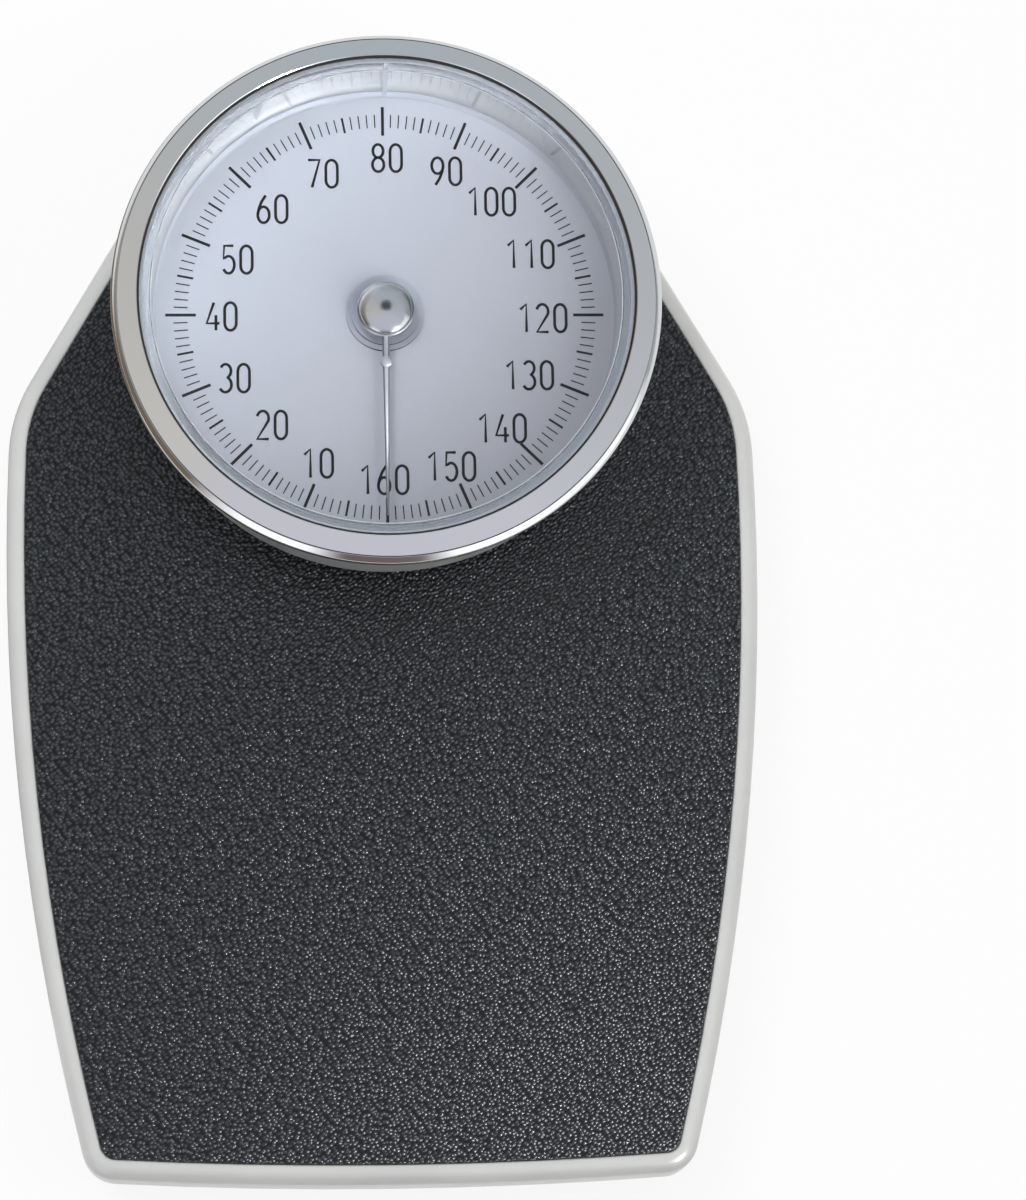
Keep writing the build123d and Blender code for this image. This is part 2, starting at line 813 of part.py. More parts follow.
def pinion():
    """Twenty-tooth brass pinion with a hub, in mesh with the rack."""
    pitch_angle = 2 * math.pi / pinion_teeth
    half_tooth = (math.pi * gear_module / 2 - tooth_backlash) / 2
    slope = math.tan(math.radians(20))
    outer = pinion_radius + 0.9 * gear_module
    root = pinion_radius - 1.25 * gear_module
    low = rack_centre - pinion_height / 2
    disc = Circle(root)
    teeth = []
    for number in range(pinion_teeth):
        wide = half_tooth + (pinion_radius - root) * slope
        narrow = half_tooth - (outer - pinion_radius) * slope * 1.25
        tooth = make_face(Polyline((root - 0.3, -wide), (outer, -narrow),
                                   (outer, narrow), (root - 0.3, wide), close=True))
        teeth.append(Rot(0, 0, math.degrees((number + 0.5) * pitch_angle)) * tooth)
    wheel = extrude(Pos(0, head_y, low) * (disc + teeth), pinion_height)
    hub_low = chassis_top + bushing_flange_height + rack_clearance
    wheel += rod(pinion_hub_radius, (0, head_y, hub_low), (0, head_y, low))
    return wheel - rod(spindle_radius, (0, head_y, hub_low), (0, head_y, low + pinion_height))


def spindle():
    """Steel spindle that carries the pinion, the pointer and the hub cap."""
    low = housing_floor + spindle_end_gap
    top = dial_face + boss_gap + boss_height + pointer_sheet + spindle_in_cap
    return rod(spindle_radius, (0, head_y, low), (0, head_y, top))


def crank_at_rest(piece):
    """Turn a piece drawn at the crank's middle position to the empty scale."""
    pivot = Pos(0, crank_y, crank_z)
    return pivot * Rot(math.degrees(half_swing), 0, 0) * pivot.inverse() * piece


def bell_crank():
    """Stamped bell crank, slotted for the rack pin at its long end."""
    hub = Pos(crank_y, crank_z)
    reach = math.hypot(crank_height, rack_travel / 2)
    play = link_radius + crank_slot_play
    end = reach + play + crank_end_margin
    shape = hub * Circle(crank_width * 0.75)
    shape += hub * Pos(0, end / 2) * Rectangle(crank_width, end)
    shape += hub * Pos(crank_short_arm / 2, 0) * Rectangle(crank_short_arm, crank_width * 0.8)
    shape += hub * Pos(crank_short_arm, 0) * Circle(crank_width * 0.4)
    middle = (crank_height + reach) / 2
    slot = SlotCenterToCenter(reach - crank_height + crank_slot_end, 2 * play, rotation=90)
    shape -= hub * Pos(0, middle) * slot
    shape -= hub * Circle(crank_pin_radius + pin_fit)
    shape -= hub * Pos(crank_short_arm, 0) * Circle(link_radius)
    plane = Plane.YZ.offset(-crank_plane - crank_sheet)
    return crank_at_rest(extrude(plane * shape, crank_sheet))


def crank_stud():
    """Stud of the crank's short arm, in the slot of the spring plate."""
    far = -crank_plane - crank_sheet - stud_length
    y = crank_y + crank_short_arm
    stud = rod(link_radius, (far, y, crank_z), (-crank_plane, y, crank_z))
    return crank_at_rest(stud)


def crank_ear_planes():
    """Outer face of the west ear and inner face of the east ear."""
    west = -crank_plane - crank_sheet - far_ear_gap
    east = -crank_plane + ear_gap
    return west, east


def crank_bracket():
    """U-shaped bracket under the chassis whose ears hold the crank pin."""
    west, east = crank_ear_planes()
    top = housing_floor
    south = head_y + ear_foot_start
    north = south + ear_foot_length
    ear = make_face(Polyline((south, top), (north, top),
                             (crank_y + ear_margin, crank_z + ear_margin),
                             (crank_y + ear_margin, crank_z - ear_margin),
                             (crank_y - ear_margin, crank_z - ear_margin),
                             (south, top - ear_shoulder), close=True))
    ear -= Pos(crank_y, crank_z) * Circle(crank_pin_radius)
    bracket = extrude(Plane.YZ.offset(west - ear_sheet) * ear, ear_sheet)
    bracket += extrude(Plane.YZ.offset(east) * ear, ear_sheet)
    bracket += block((west - ear_sheet, east + ear_sheet), (south, north),
                     (top - ear_sheet, top))
    return bracket


def crank_pin():
    west, east = crank_ear_planes()
    return rod(crank_pin_radius, (west - ear_sheet, crank_y, crank_z),
               (east + ear_sheet, crank_y, crank_z))


def spring_tab(low, high):
    """Upright tab that a hook of the main spring goes through."""
    return block((-tab_half_sheet, tab_half_sheet),
                 (nose_y - tab_half_width, nose_y + tab_half_width), (low, high))


def hook_eye(height):
    """Hole through such a tab."""
    return rod(hook_hole, (-tab_half_sheet, nose_y, height), (tab_half_sheet, nose_y, height))


def calibration_plate():
    """Plate that the lever noses press down, hung from the main spring."""
    top = pivot_height - seat_gap
    low = top - crank_sheet
    half = long_nose_x + plate_side
    plate = block((-half, half), (nose_y - plate_reach, nose_y + plate_side), (low, top))
    tab_top = hook_low() + hook_radius + tab_edge
    plate += spring_tab(top, tab_top)
    hole_z = hook_low() - spring_wire - seat_gap + hook_hole - hook_seat
    plate -= hook_eye(hole_z)
    west = -crank_plane - crank_sheet - 1 - crank_sheet
    stud_z = crank_z + crank_short_arm * math.sin(half_swing)
    low_y = crank_y + crank_short_arm * math.cos(half_swing)
    high_y = crank_y + crank_short_arm
    riser = block((west, west + crank_sheet), (nose_y - plate_reach, nose_y + plate_reach),
                  (low, stud_z + ear_margin))
    play = link_radius + stud_play
    middle = (low_y + high_y) / 2
    slot = Pos(middle, stud_z) * SlotCenterToCenter(high_y - low_y + crank_slot_end, 2 * play)
    riser -= extrude(Plane.YZ.offset(west) * slot, crank_sheet)
    return plate + riser


def hook_low():
    """Height of the wire's centre at the bottom of the main spring."""
    return pivot_height - seat_gap + hook_lift


def hook_high():
    """Height of the wire's centre at the top of the main spring."""
    return hook_low() + 4 * hook_radius + spring_length + hook_neck


def main_spring():
    """Extension spring with a closed hook at each end."""
    low = hook_low() + 2 * hook_radius
    high = hook_high() - 2 * hook_radius
    start = (low + high - spring_length) / 2
    coil = rod(spring_radius + spring_wire, (0, nose_y, start), (0, nose_y, start + spring_length))
    for height in (low - hook_radius, high + hook_radius):
        ring = Torus(hook_radius, spring_wire)
        coil += Pos(0, nose_y, height) * Rot(90, 0, 0) * ring
    coil += rod(spring_wire, (0, nose_y, low), (0, nose_y, start))
    coil += rod(spring_wire, (0, nose_y, start + spring_length), (0, nose_y, high))
    return coil


def spring_post_place():
    """Plan point of the post that holds the rack spring."""
    return -crank_plane - crank_sheet - post_side, head_y - post_offset


def spring_post():
    x, y = spring_post_place()
    return rod(post_radius, (x, y, chassis_top), (x, y, rack_centre + post_rise))


def rack_spring():
    """Light return spring between its post and the rack pin."""
    x, post_y = spring_post_place()
    south = post_y + post_radius
    north = crank_y - rack_travel / 2 - link_radius
    spring = rod(rack_spring_wire, (x, south, rack_centre), (x, north, rack_centre))
    start = (x, south + rack_spring_lead, rack_centre)
    end = (x, north - rack_spring_lead, rack_centre)
    return spring + rod(rack_spring_radius, start, end)


def guide_posts():
    """Two posts on the chassis that guide the zero hanger."""
    y = head_y + guide_offset
    top = chassis_top + hanger_rise + hanger_sheet + 1
    return [rod(guide_radius, (side * guide_x, y, chassis_top), (side * guide_x, y, top))
            for side in (-1, 1)]


def wheel_seat():
    """Collar that the zero wheel turns on, bored for the threaded stud."""
    top = chassis_top + wheel_seat_height
    seat = rod(wheel_seat_radius, (0, wheel_y, chassis_top), (0, wheel_y, top))
    bore = thread_radius + thread_clearance
    return seat - rod(bore, (0, wheel_y, chassis_top), (0, wheel_y, top))


def zero_thumbwheel():
    """Knurled wheel that reaches out through the back of the head."""
    high = wheel_low + wheel_thickness
    rim = Circle(wheel_radius)
    groove = Pos(wheel_radius, 0) * Rot(0, 0, 45) * Rectangle(groove_width, groove_width)
    rim -= [Rot(0, 0, 360 * number / wheel_grooves) * groove for number in range(wheel_grooves)]
    wheel = extrude(Pos(0, wheel_y, wheel_low) * rim, wheel_thickness)
    return wheel - rod(thread_radius + thread_fit, (0, wheel_y, wheel_low), (0, wheel_y, high))


def zero_hanger():
    """Sliding plate that hangs the main spring from the zero wheel."""
    low = chassis_top + hanger_rise
    high = low + hanger_sheet
    half = guide_x + hanger_side
    south = nose_y - hanger_edge
    north = head_y + guide_offset + hanger_edge
    plate = block((-half, half), (south, north), (low, high))
    plate += block((-hanger_tongue, hanger_tongue), (nose_y, wheel_y + hanger_edge), (low, high))
    for side in (-1, 1):
        x, y = side * guide_x, head_y + guide_offset
        plate -= rod(guide_radius + guide_fit, (x, y, low), (x, y, high))
    tab_low = hook_high() - hook_radius - tab_edge
    plate += spring_tab(tab_low, low)
    hole_z = hook_high() + spring_wire + seat_gap - hook_hole + hook_seat
    plate -= hook_eye(hole_z)
    stud_low = chassis_top + stud_end_gap
    return plate + rod(thread_radius, (0, wheel_y, stud_low), (0, wheel_y, low))


def pointer_boss():
    """Clear stepped disc under the pointer."""
    low = dial_face + boss_gap
    high = low + boss_height
    step = low + boss_step_height
    return turned([(spindle_radius, low), (boss_radius, low), (boss_radius, step),
                   (boss_step_radius, step), (boss_step_radius, high), (spindle_radius, high)],
                  rounds=((2, 0.4), (4, 0.4)))


def blade_section(distance, width):
    """Cross-section of the pointer at a distance from the spindle."""
    low = dial_face + boss_gap + boss_height
    high = low + pointer_sheet
    half = width / 2
    bevel = pointer_bevel * width
    section = make_face(Polyline((-half, low), (half, low), (half, high - bevel),
                                 (half - bevel, high), (bevel - half, high),
                                 (-half, high - bevel), close=True))
    return Plane.XZ.offset(distance - head_y) * section


def pointer():
    """Tapered pointer with bevelled edges that hides zero on the empty scale."""
    low = dial_face + boss_gap + boss_height
    high = low + pointer_sheet
    root = blade_section(spindle_radius, pointer_width)
    tip = blade_section(pointer_reach, pointer_tip_width)
    node_y = head_y - pointer_node
    arm = loft([root, tip]) + rod(pointer_node_radius, (0, node_y, low), (0, node_y, high))
    arm += rod(pointer_hub_radius, (0, head_y, low), (0, head_y, high))
    return arm - rod(spindle_radius, (0, head_y, low), (0, head_y, high))


def hub_cap():
    """Domed chrome cap with a rounded rim over the pointer's hub."""
    low = dial_face + boss_gap + boss_height + pointer_sheet
    rim_top = low + cap_rim_height
    rise = cap_height - cap_rim_height
    rim = rod(cap_rim_radius, (0, head_y, low), (0, head_y, rim_top))
    rim = fillet(rim.edges().group_by(Axis.Z)[-1], cap_rim_round)
    ball = (cap_radius**2 + rise**2) / (2 * rise)
    dome = Pos(0, head_y, rim_top + rise - ball) * Sphere(ball)
    dome &= block((-ball, ball), (head_y - ball, head_y + ball), (rim_top, rim_top + ball))
    return rim + dome - rod(spindle_radius, (0, head_y, low), (0, head_y, low + spindle_in_cap))


keep("base_tray", base_tray())
keep("rubber_feet", *rubber_feet())
keep("foot_rivets", *foot_rivets())
keep("fulcrum_brackets", *fulcrum_brackets())
keep("fulcrum_rivets", *fulcrum_rivets())
keep("platform_plate", platform_plate())
keep("tread_mat", tread_mat())
keep("load_brackets", *load_brackets())
for side, hand in ((-1, "left"), (1, "right")):
    for name, made in (("long_lever", long_lever(side)), ("short_lever", short_lever(side))):
        keep(f"{name}_{hand}", made[0])
        keep(f"{name}_{hand}_pins", *made[1])
keep("neck_column", neck_column())
keep("neck_screws", *neck_screws())
keep("head_housing", head_housing())
keep("head_screws", *head_screws())
keep("bezel_ring", bezel_ring())
keep("lens_seal", lens_seal())
keep("dial_lens", dial_lens())
keep("dial_plate", dial_plate())
keep("mechanism_chassis", mechanism_chassis())
keep("spindle_bridge", spindle_bridge())
keep("bridge_screws", *bridge_screws())
keep("lower_bushing", bushing(housing_floor))
keep("upper_bushing", bushing(chassis_top + bridge_height - chassis_sheet))
keep("rack_guides", *rack_guides())
keep("gear_rack", gear_rack())
keep("rack_pin", rack_pin())
keep("pinion", pinion())
keep("spindle", spindle())
keep("pointer_boss", pointer_boss())
keep("pointer", pointer())
keep("hub_cap", hub_cap())
keep("crank_bracket", crank_bracket())
keep("crank_pin", crank_pin())
keep("bell_crank", bell_crank())
keep("crank_stud", crank_stud())
keep("calibration_plate", calibration_plate())
keep("main_spring", main_spring())
keep("spring_post", spring_post())
keep("rack_spring", rack_spring())
keep("guide_posts", *guide_posts())
keep("wheel_seat", wheel_seat())
keep("zero_thumbwheel", zero_thumbwheel())
keep("zero_hanger", zero_hanger())

print("long lever swing, degrees", math.degrees(lever_travel))
print("crank swing, degrees", 2 * math.degrees(half_swing))
print("spring travel", spring_travel, "platform travel", lever_travel * load_arm)
print("rack travel", rack_travel, "heights", tray_floor, mat_top, dial_face, bezel_top)
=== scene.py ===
import math
import bpy
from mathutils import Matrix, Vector


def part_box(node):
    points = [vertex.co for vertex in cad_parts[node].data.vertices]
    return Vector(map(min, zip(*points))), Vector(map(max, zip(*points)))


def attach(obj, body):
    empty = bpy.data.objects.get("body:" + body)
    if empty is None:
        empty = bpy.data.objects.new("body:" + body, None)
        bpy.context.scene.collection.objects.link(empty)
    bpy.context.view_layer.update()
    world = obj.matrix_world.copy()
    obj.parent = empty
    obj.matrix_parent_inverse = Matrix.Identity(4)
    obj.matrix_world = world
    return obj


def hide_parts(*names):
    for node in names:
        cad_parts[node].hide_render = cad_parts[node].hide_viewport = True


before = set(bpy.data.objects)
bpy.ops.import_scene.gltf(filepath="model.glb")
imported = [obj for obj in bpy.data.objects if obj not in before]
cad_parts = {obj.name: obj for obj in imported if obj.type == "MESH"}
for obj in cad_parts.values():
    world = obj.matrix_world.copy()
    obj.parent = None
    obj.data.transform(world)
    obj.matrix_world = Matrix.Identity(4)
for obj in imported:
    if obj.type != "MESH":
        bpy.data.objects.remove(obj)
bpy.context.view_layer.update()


# The base tray is drawn from 1.2 mm sheet steel, open at the top, and it carries
# the feet, the lever brackets and the neck. Like every white part of the scale it
# is stoved with enamel, which flows to a smooth, slightly wavy, glossy coat.
MM = 0.001


def add(tree, kind, links=None, **settings):
    """Add a shader node, set its properties and sockets by name, and link its inputs."""
    made = tree.nodes.new("ShaderNode" + kind)
    for name, value in settings.items():
        if hasattr(made, name):
            setattr(made, name, value)
        else:
            made.inputs[name.replace("_", " ")].default_value = value
    for name, output in (links or {}).items():
        tree.links.new(output, made.inputs[name])
    return made


def colour(code):
    """Linear colour of an sRGB hex code."""
    shares = [int(code[place:place + 2], 16) / 255 for place in (0, 2, 4)]
    linear = [s / 12.92 if s < 0.04045 else ((s + 0.055) / 1.055) ** 2.4 for s in shares]
    return linear + [1.0]


def new_finish(name):
    """Empty material with a tree, its principled shader and the piece's own coordinates."""
    material = bpy.data.materials.new(name)
    material.use_nodes = True
    tree = material.node_tree
    tree.nodes.clear()
    shader = add(tree, "BsdfPrincipled")
    add(tree, "OutputMaterial", {"Surface": shader.outputs[0]})
    place = add(tree, "TexCoord").outputs["Object"]
    return material, tree, shader, place


def blend_colours(tree, shader, share, *stops):
    """Colour the shader along a ramp of (share, hex code) stops."""
    ramp = add(tree, "ValToRGB", {"Fac": share})
    while len(ramp.color_ramp.elements) < len(stops):
        ramp.color_ramp.elements.new(0.5)
    for element, (where, code) in zip(ramp.color_ramp.elements, stops):
        element.position = where
        element.color = colour(code)
    tree.links.new(ramp.outputs["Color"], shader.inputs["Base Color"])


def emboss(tree, shader, height, depth, strength=1.0):
    """Raise the surface by a height pattern of 0 to 1 over a depth in metres."""
    bump = add(tree, "Bump", {"Height": height}, Distance=depth, Strength=strength)
    tree.links.new(bump.outputs["Normal"], shader.inputs["Normal"])


def spread_gloss(tree, shader, share, low, high):
    """Let the roughness wander between two values with a pattern."""
    span = add(tree, "MapRange", {"Value": share}, To_Min=low, To_Max=high)
    tree.links.new(span.outputs["Result"], shader.inputs["Roughness"])


def pick(piece):
    """Select one object alone and make it active."""
    bpy.ops.object.select_all(action="DESELECT")
    piece.select_set(True)
    bpy.context.view_layer.objects.active = piece


def settle(piece, name, body, material, slot, *nodes):
    """Name a finished piece, finish it, hang it on its body and hide what it replaces."""
    piece.name = name
    pick(piece)
    bpy.ops.object.transform_apply(location=True, rotation=True, scale=True)
    piece.data.materials.clear()
    piece.data.materials.append(material)
    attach(piece, body)
    if nodes:
        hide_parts(*nodes)
    return piece


def refined(node, body, material, slot, angle=35):
    """Copy of a CAD mesh with its corners merged and its curved faces shaded smooth."""
    bpy.ops.object.select_all(action="DESELECT")
    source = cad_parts[node]
    piece = source.copy()
    piece.data = source.data.copy()
    bpy.context.scene.collection.objects.link(piece)
    piece.parent = None
    for key in list(piece.keys()):
        del piece[key]
    pick(piece)
    bpy.ops.object.mode_set(mode="EDIT")
    bpy.ops.mesh.select_all(action="SELECT")
    bpy.ops.mesh.remove_doubles(threshold=0.002 * MM)
    bpy.ops.object.mode_set(mode="OBJECT")
    bpy.ops.object.shade_smooth_by_angle(angle=math.radians(angle))
    return settle(piece, node + "_enamelled", body, material, slot, node)


# Stoved enamel: a warm white coat whose orange peel repeats every 3 mm or so,
# with faint dust and handling in patches about 40 mm wide.
enamel, tree, shader, place = new_finish("stoved white enamel")
peel = add(tree, "TexNoise", {"Vector": place}, Scale=1 / (3 * MM), Detail=2.0)
patches = add(tree, "TexNoise", {"Vector": place}, Scale=1 / (40 * MM), Detail=3.0)
blend_colours(tree, shader, patches.outputs["Fac"], (0.3, "CCCDCB"), (0.7, "D5D6D3"))
emboss(tree, shader, peel.outputs["Fac"], 0.02 * MM, 0.6)
spread_gloss(tree, shader, patches.outputs["Fac"], 0.28, 0.40)
shader.inputs["Coat Weight"].default_value = 0.3
shader.inputs["Coat Roughness"].default_value = 0.12

refined("base_tray", "root", enamel, "white_enamel")


# Four moulded rubber feet are riveted under the tray. The rubber is matt and
# slightly grey where it has rubbed on floors; the rivets are plated steel.
def dress(material, *nodes):
    """Give CAD pieces that keep their own mesh a finish."""
    for node in nodes:
        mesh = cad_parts[node].data
        mesh.materials.clear()
        mesh.materials.append(material)


rubber, tree, shader, place = new_finish("moulded black rubber")
grain = add(tree, "TexNoise", {"Vector": place}, Scale=1 / (0.8 * MM), Detail=4.0)
blend_colours(tree, shader, grain.outputs["Fac"], (0.35, "1B1B1C"), (0.75, "2C2C2D"))
emboss(tree, shader, grain.outputs["Fac"], 0.05 * MM, 0.5)
spread_gloss(tree, shader, grain.outputs["Fac"], 0.65, 0.85)
dress(rubber, "rubber_feet")

# Bright zinc plate over pressed sheet: a bluish metal whose crystals show as
# flecks about 1.5 mm across, with finer rolling marks along the sheet.
zinc, tree, shader, place = new_finish("bright zinc plated steel")
flecks = add(tree, "TexVoronoi", {"Vector": place}, Scale=1 / (1.5 * MM))
stretch = add(tree, "Mapping", {"Vector": place}, Scale=(1.0, 0.08, 1.0))
rolling = add(tree, "TexNoise", {"Vector": stretch.outputs[0]}, Scale=1 / (0.4 * MM))
blend_colours(tree, shader, flecks.outputs["Distance"], (0.0, "A9ADB2"), (0.6, "C9CCCF"))
spread_gloss(tree, shader, rolling.outputs["Fac"], 0.25, 0.45)
emboss(tree, shader, rolling.outputs["Fac"], 0.01 * MM, 0.5)
shader.inputs["Metallic"].default_value = 1.0
dress(zinc, "foot_rivets", "fulcrum_rivets", "fulcrum_brackets", "load_brackets")


# Two long and two short levers of flat bar gather the load from four corners.
# Their pins are hardened steel, oiled and dark beside the plated bars.
oiled, tree, shader, place = new_finish("oiled spring steel")
film = add(tree, "TexNoise", {"Vector": place}, Scale=1 / (4 * MM), Detail=5.0)
blend_colours(tree, shader, film.outputs["Fac"], (0.3, "6A6C70"), (0.7, "8C8E92"))
spread_gloss(tree, shader, film.outputs["Fac"], 0.2, 0.4)
shader.inputs["Metallic"].default_value = 1.0
for hand in ("left", "right"):
    for lever in ("long_lever_", "short_lever_"):
        dress(zinc, lever + hand)
        dress(oiled, lever + hand + "_pins")
dress(zinc, "calibration_plate")


# The neck is a flanged steel tube that lifts the head clear of the platform,
# and the housing is a deep drum screwed on top of it. Both are enamelled white.
refined("neck_column", "root", enamel, "white_enamel")
refined("head_housing", "root", enamel, "white_enamel")
dress(zinc, "neck_screws", "head_screws", "bridge_screws")


# The movement stands on a plated chassis under the dial: a bell crank pulls a
# brass rack past a brass pinion on the pointer's spindle.
brass, tree, shader, place = new_finish("machined brass")
swirl = add(tree, "TexNoise", {"Vector": place}, Scale=1 / (0.5 * MM), Detail=3.0)
blend_colours(tree, shader, swirl.outputs["Fac"], (0.3, "B49552"), (0.7, "CDB170"))
spread_gloss(tree, shader, swirl.outputs["Fac"], 0.18, 0.35)
shader.inputs["Metallic"].default_value = 1.0
dress(brass, "gear_rack", "pinion", "lower_bushing", "upper_bushing", "wheel_seat")

acetal, tree, shader, place = new_finish("moulded black acetal")
cloud = add(tree, "TexNoise", {"Vector": place}, Scale=1 / (2 * MM), Detail=3.0)
blend_colours(tree, shader, cloud.outputs["Fac"], (0.3, "17181A"), (0.7, "222427"))
spread_gloss(tree, shader, cloud.outputs["Fac"], 0.4, 0.55)
dress(acetal, "rack_guides")

dress(zinc, "mechanism_chassis", "spindle_bridge", "crank_bracket", "crank_pin", "bell_crank")
dress(zinc, "spring_post", "guide_posts", "zero_hanger")
dress(oiled, "crank_stud", "rack_pin", "spindle", "main_spring", "rack_spring")


# The zero wheel is turned from steel with a knurled rim, and plated. A finger
# turns it through a slot in the back of the head.
dress(zinc, "zero_thumbwheel")


# The platform is pressed from sheet steel with its edge rolled down all round.
# A shallow recess in its top holds the mat, which leaves a white rim 7 mm wide.
refined("platform_plate", "platform", enamel, "white_enamel")


# The mat is soft vinyl, glued into the recess. It is embossed with a close leather
# grain in slanted rows, each nub about 1.3 mm from the next, shiny on its crown.
vinyl, tree, shader, place = new_finish("embossed black vinyl")
nub_pitch = 1.3 * MM
slant = add(tree, "Mapping", {"Vector": place}, vector_type="TEXTURE",
            Rotation=(0, 0, math.radians(38)), Scale=(1.45, 1.0, 1.0))
nubs = add(tree, "TexVoronoi", {"Vector": slant.outputs[0]}, voronoi_dimensions="2D",
           Scale=1 / nub_pitch, Randomness=0.75)
crown = add(tree, "MapRange", {"Value": nubs.outputs["Distance"]}, interpolation_type="SMOOTHSTEP",
            From_Min=0.0, From_Max=0.7, To_Min=1.0, To_Max=0.0)
worms = add(tree, "TexNoise", {"Vector": place}, noise_dimensions="2D",
            Scale=1 / (2.6 * MM), Detail=2.0)
uneven = add(tree, "MapRange", {"Value": worms.outputs["Fac"]}, From_Min=0.3, From_Max=0.7,
             To_Min=0.45, To_Max=1.0)
grain = add(tree, "Math", {0: crown.outputs[0], 1: uneven.outputs[0]}, operation="MULTIPLY")
# Painted shade: the colour is near black in the valleys between the nubs and lighter toward their
# crowns.
blend_colours(tree, shader, grain.outputs[0], (0.05, "050608"), (0.4, "22262B"),
              (0.95, "4C5159"))
emboss(tree, shader, grain.outputs[0], 0.4 * MM)
spread_gloss(tree, shader, grain.outputs[0], 0.4, 0.2)
shader.inputs["Specular IOR Level"].default_value = 0.4
mat = refined("tread_mat", "platform", vinyl, "black_vinyl")
mat.name = "tread_mat_embossed"


# The dial is a flat aluminium disc printed silver grey, with black ticks every kilogram
# and a figure every ten; its colour is painted lighter toward the far left, painted light
# falling from that side. It reads clockwise from zero at the heel side.
dial_low, dial_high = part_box("dial_plate")
head_y = dial_low.y + (dial_high.y - dial_low.y) / 2
head = Vector((0, head_y, 0))
dial_face = dial_high.z

silver, tree, shader, place = new_finish("silver grey printed aluminium")
sparkle = add(tree, "TexNoise", {"Vector": place}, Scale=1 / (0.5 * MM), Detail=2.0)
# Painted light: the base colour runs from darker at the near right to lighter at the far left.
where = add(tree, "SeparateXYZ", {0: place})
slope = add(tree, "Math", {0: where.outputs["Y"], 1: where.outputs["X"]}, operation="SUBTRACT")
painted_light_reach = 85 * MM
painted_light_falloff = add(tree, "MapRange", {"Value": slope.outputs[0]}, From_Min=head.y - painted_light_reach,
           From_Max=head.y + painted_light_reach)
blend_colours(tree, shader, painted_light_falloff.outputs[0], (0.0, "B6B7BD"), (1.0, "D6DBE3"))
emboss(tree, shader, sparkle.outputs["Fac"], 0.01 * MM, 0.4)
spread_gloss(tree, shader, sparkle.outputs["Fac"], 0.35, 0.5)
shader.inputs["Metallic"].default_value = 0.15
dress(silver, "dial_plate")

ink, tree, shader, place = new_finish("black screen ink")
cover = add(tree, "TexNoise", {"Vector": place}, Scale=1 / (0.4 * MM), Detail=2.0)
blend_colours(tree, shader, cover.outputs["Fac"], (0.3, "0C0D10"), (0.8, "17181C"))
spread_gloss(tree, shader, cover.outputs["Fac"], 0.4, 0.6)

ink_depth = 0.05 * MM
decades = 16
decade_angle = 2 * math.pi / decades
step_angle = decade_angle / 10


def tick(inner, outer, width, number):
    """One printed line between two radii, a number of kilograms past zero."""
    turn = -math.pi / 2 - number * step_angle
    middle = (inner + outer) / 2 * MM
    bpy.ops.object.select_all(action="DESELECT")
    bpy.ops.mesh.primitive_plane_add(
        size=1, location=head + Vector((math.cos(turn), math.sin(turn), 0)) * middle,
        rotation=(0, 0, turn))
    made = bpy.context.object
    made.scale = ((outer - inner) * MM, width * MM, 1)
    made.location.z = dial_face
    bpy.ops.object.transform_apply(location=True, rotation=True, scale=True)
    bpy.ops.object.mode_set(mode="EDIT")
    bpy.ops.mesh.extrude_region_move(TRANSFORM_OT_translate={"value": (0, 0, ink_depth)})
    bpy.ops.object.mode_set(mode="OBJECT")
    return made


def united(pieces):
    """Join pieces into the first of them."""
    bpy.ops.object.select_all(action="DESELECT")
    for piece in pieces:
        piece.select_set(True)
    bpy.context.view_layer.objects.active = pieces[0]
    bpy.ops.object.join()
    return pieces[0]


# Inner radius, outer radius and width in mm of the lines at tens, at fives and at the rest.
ten, five, single = (71.8, 83.4, 1.15), (74.2, 80.4, 0.85), (75.0, 80.3, 0.45)
decade = [tick(*ten, 0), tick(*five, 5)]
decade += [tick(*single, number) for number in range(1, 10) if number != 5]
ticks = united(decade)
bpy.ops.object.mode_set(mode="EDIT")
bpy.ops.mesh.select_all(action="SELECT")
bpy.ops.mesh.spin(steps=decades - 1, dupli=True, angle=-(decades - 1) * decade_angle,
                  center=head, axis=(0, 0, 1))
bpy.ops.mesh.select_all(action="SELECT")
bpy.ops.mesh.normals_make_consistent(inside=False)
bpy.ops.object.mode_set(mode="OBJECT")
settle(ticks, "dial_ticks", "root", ink, "black_rubber")

# The pen's path of each figure is drawn on a grid of 3.9 by 9.9 and then stretched
# to the printed size. The pen is 1.1 mm wide.
figure_width = 3.9
figure_height = 9.9
stretch_x, stretch_y = 1.128, 1.111
stroke = 1.1


def bow(x, y, wide, tall, start, end):
    """Points along part of an ellipse between two angles in degrees."""
    count = max(3, round(abs(end - start) / 15))
    turns = [math.radians(start + (end - start) * number / count) for number in range(count + 1)]
    return [(x + wide * math.cos(turn), y + tall * math.sin(turn)) for turn in turns]


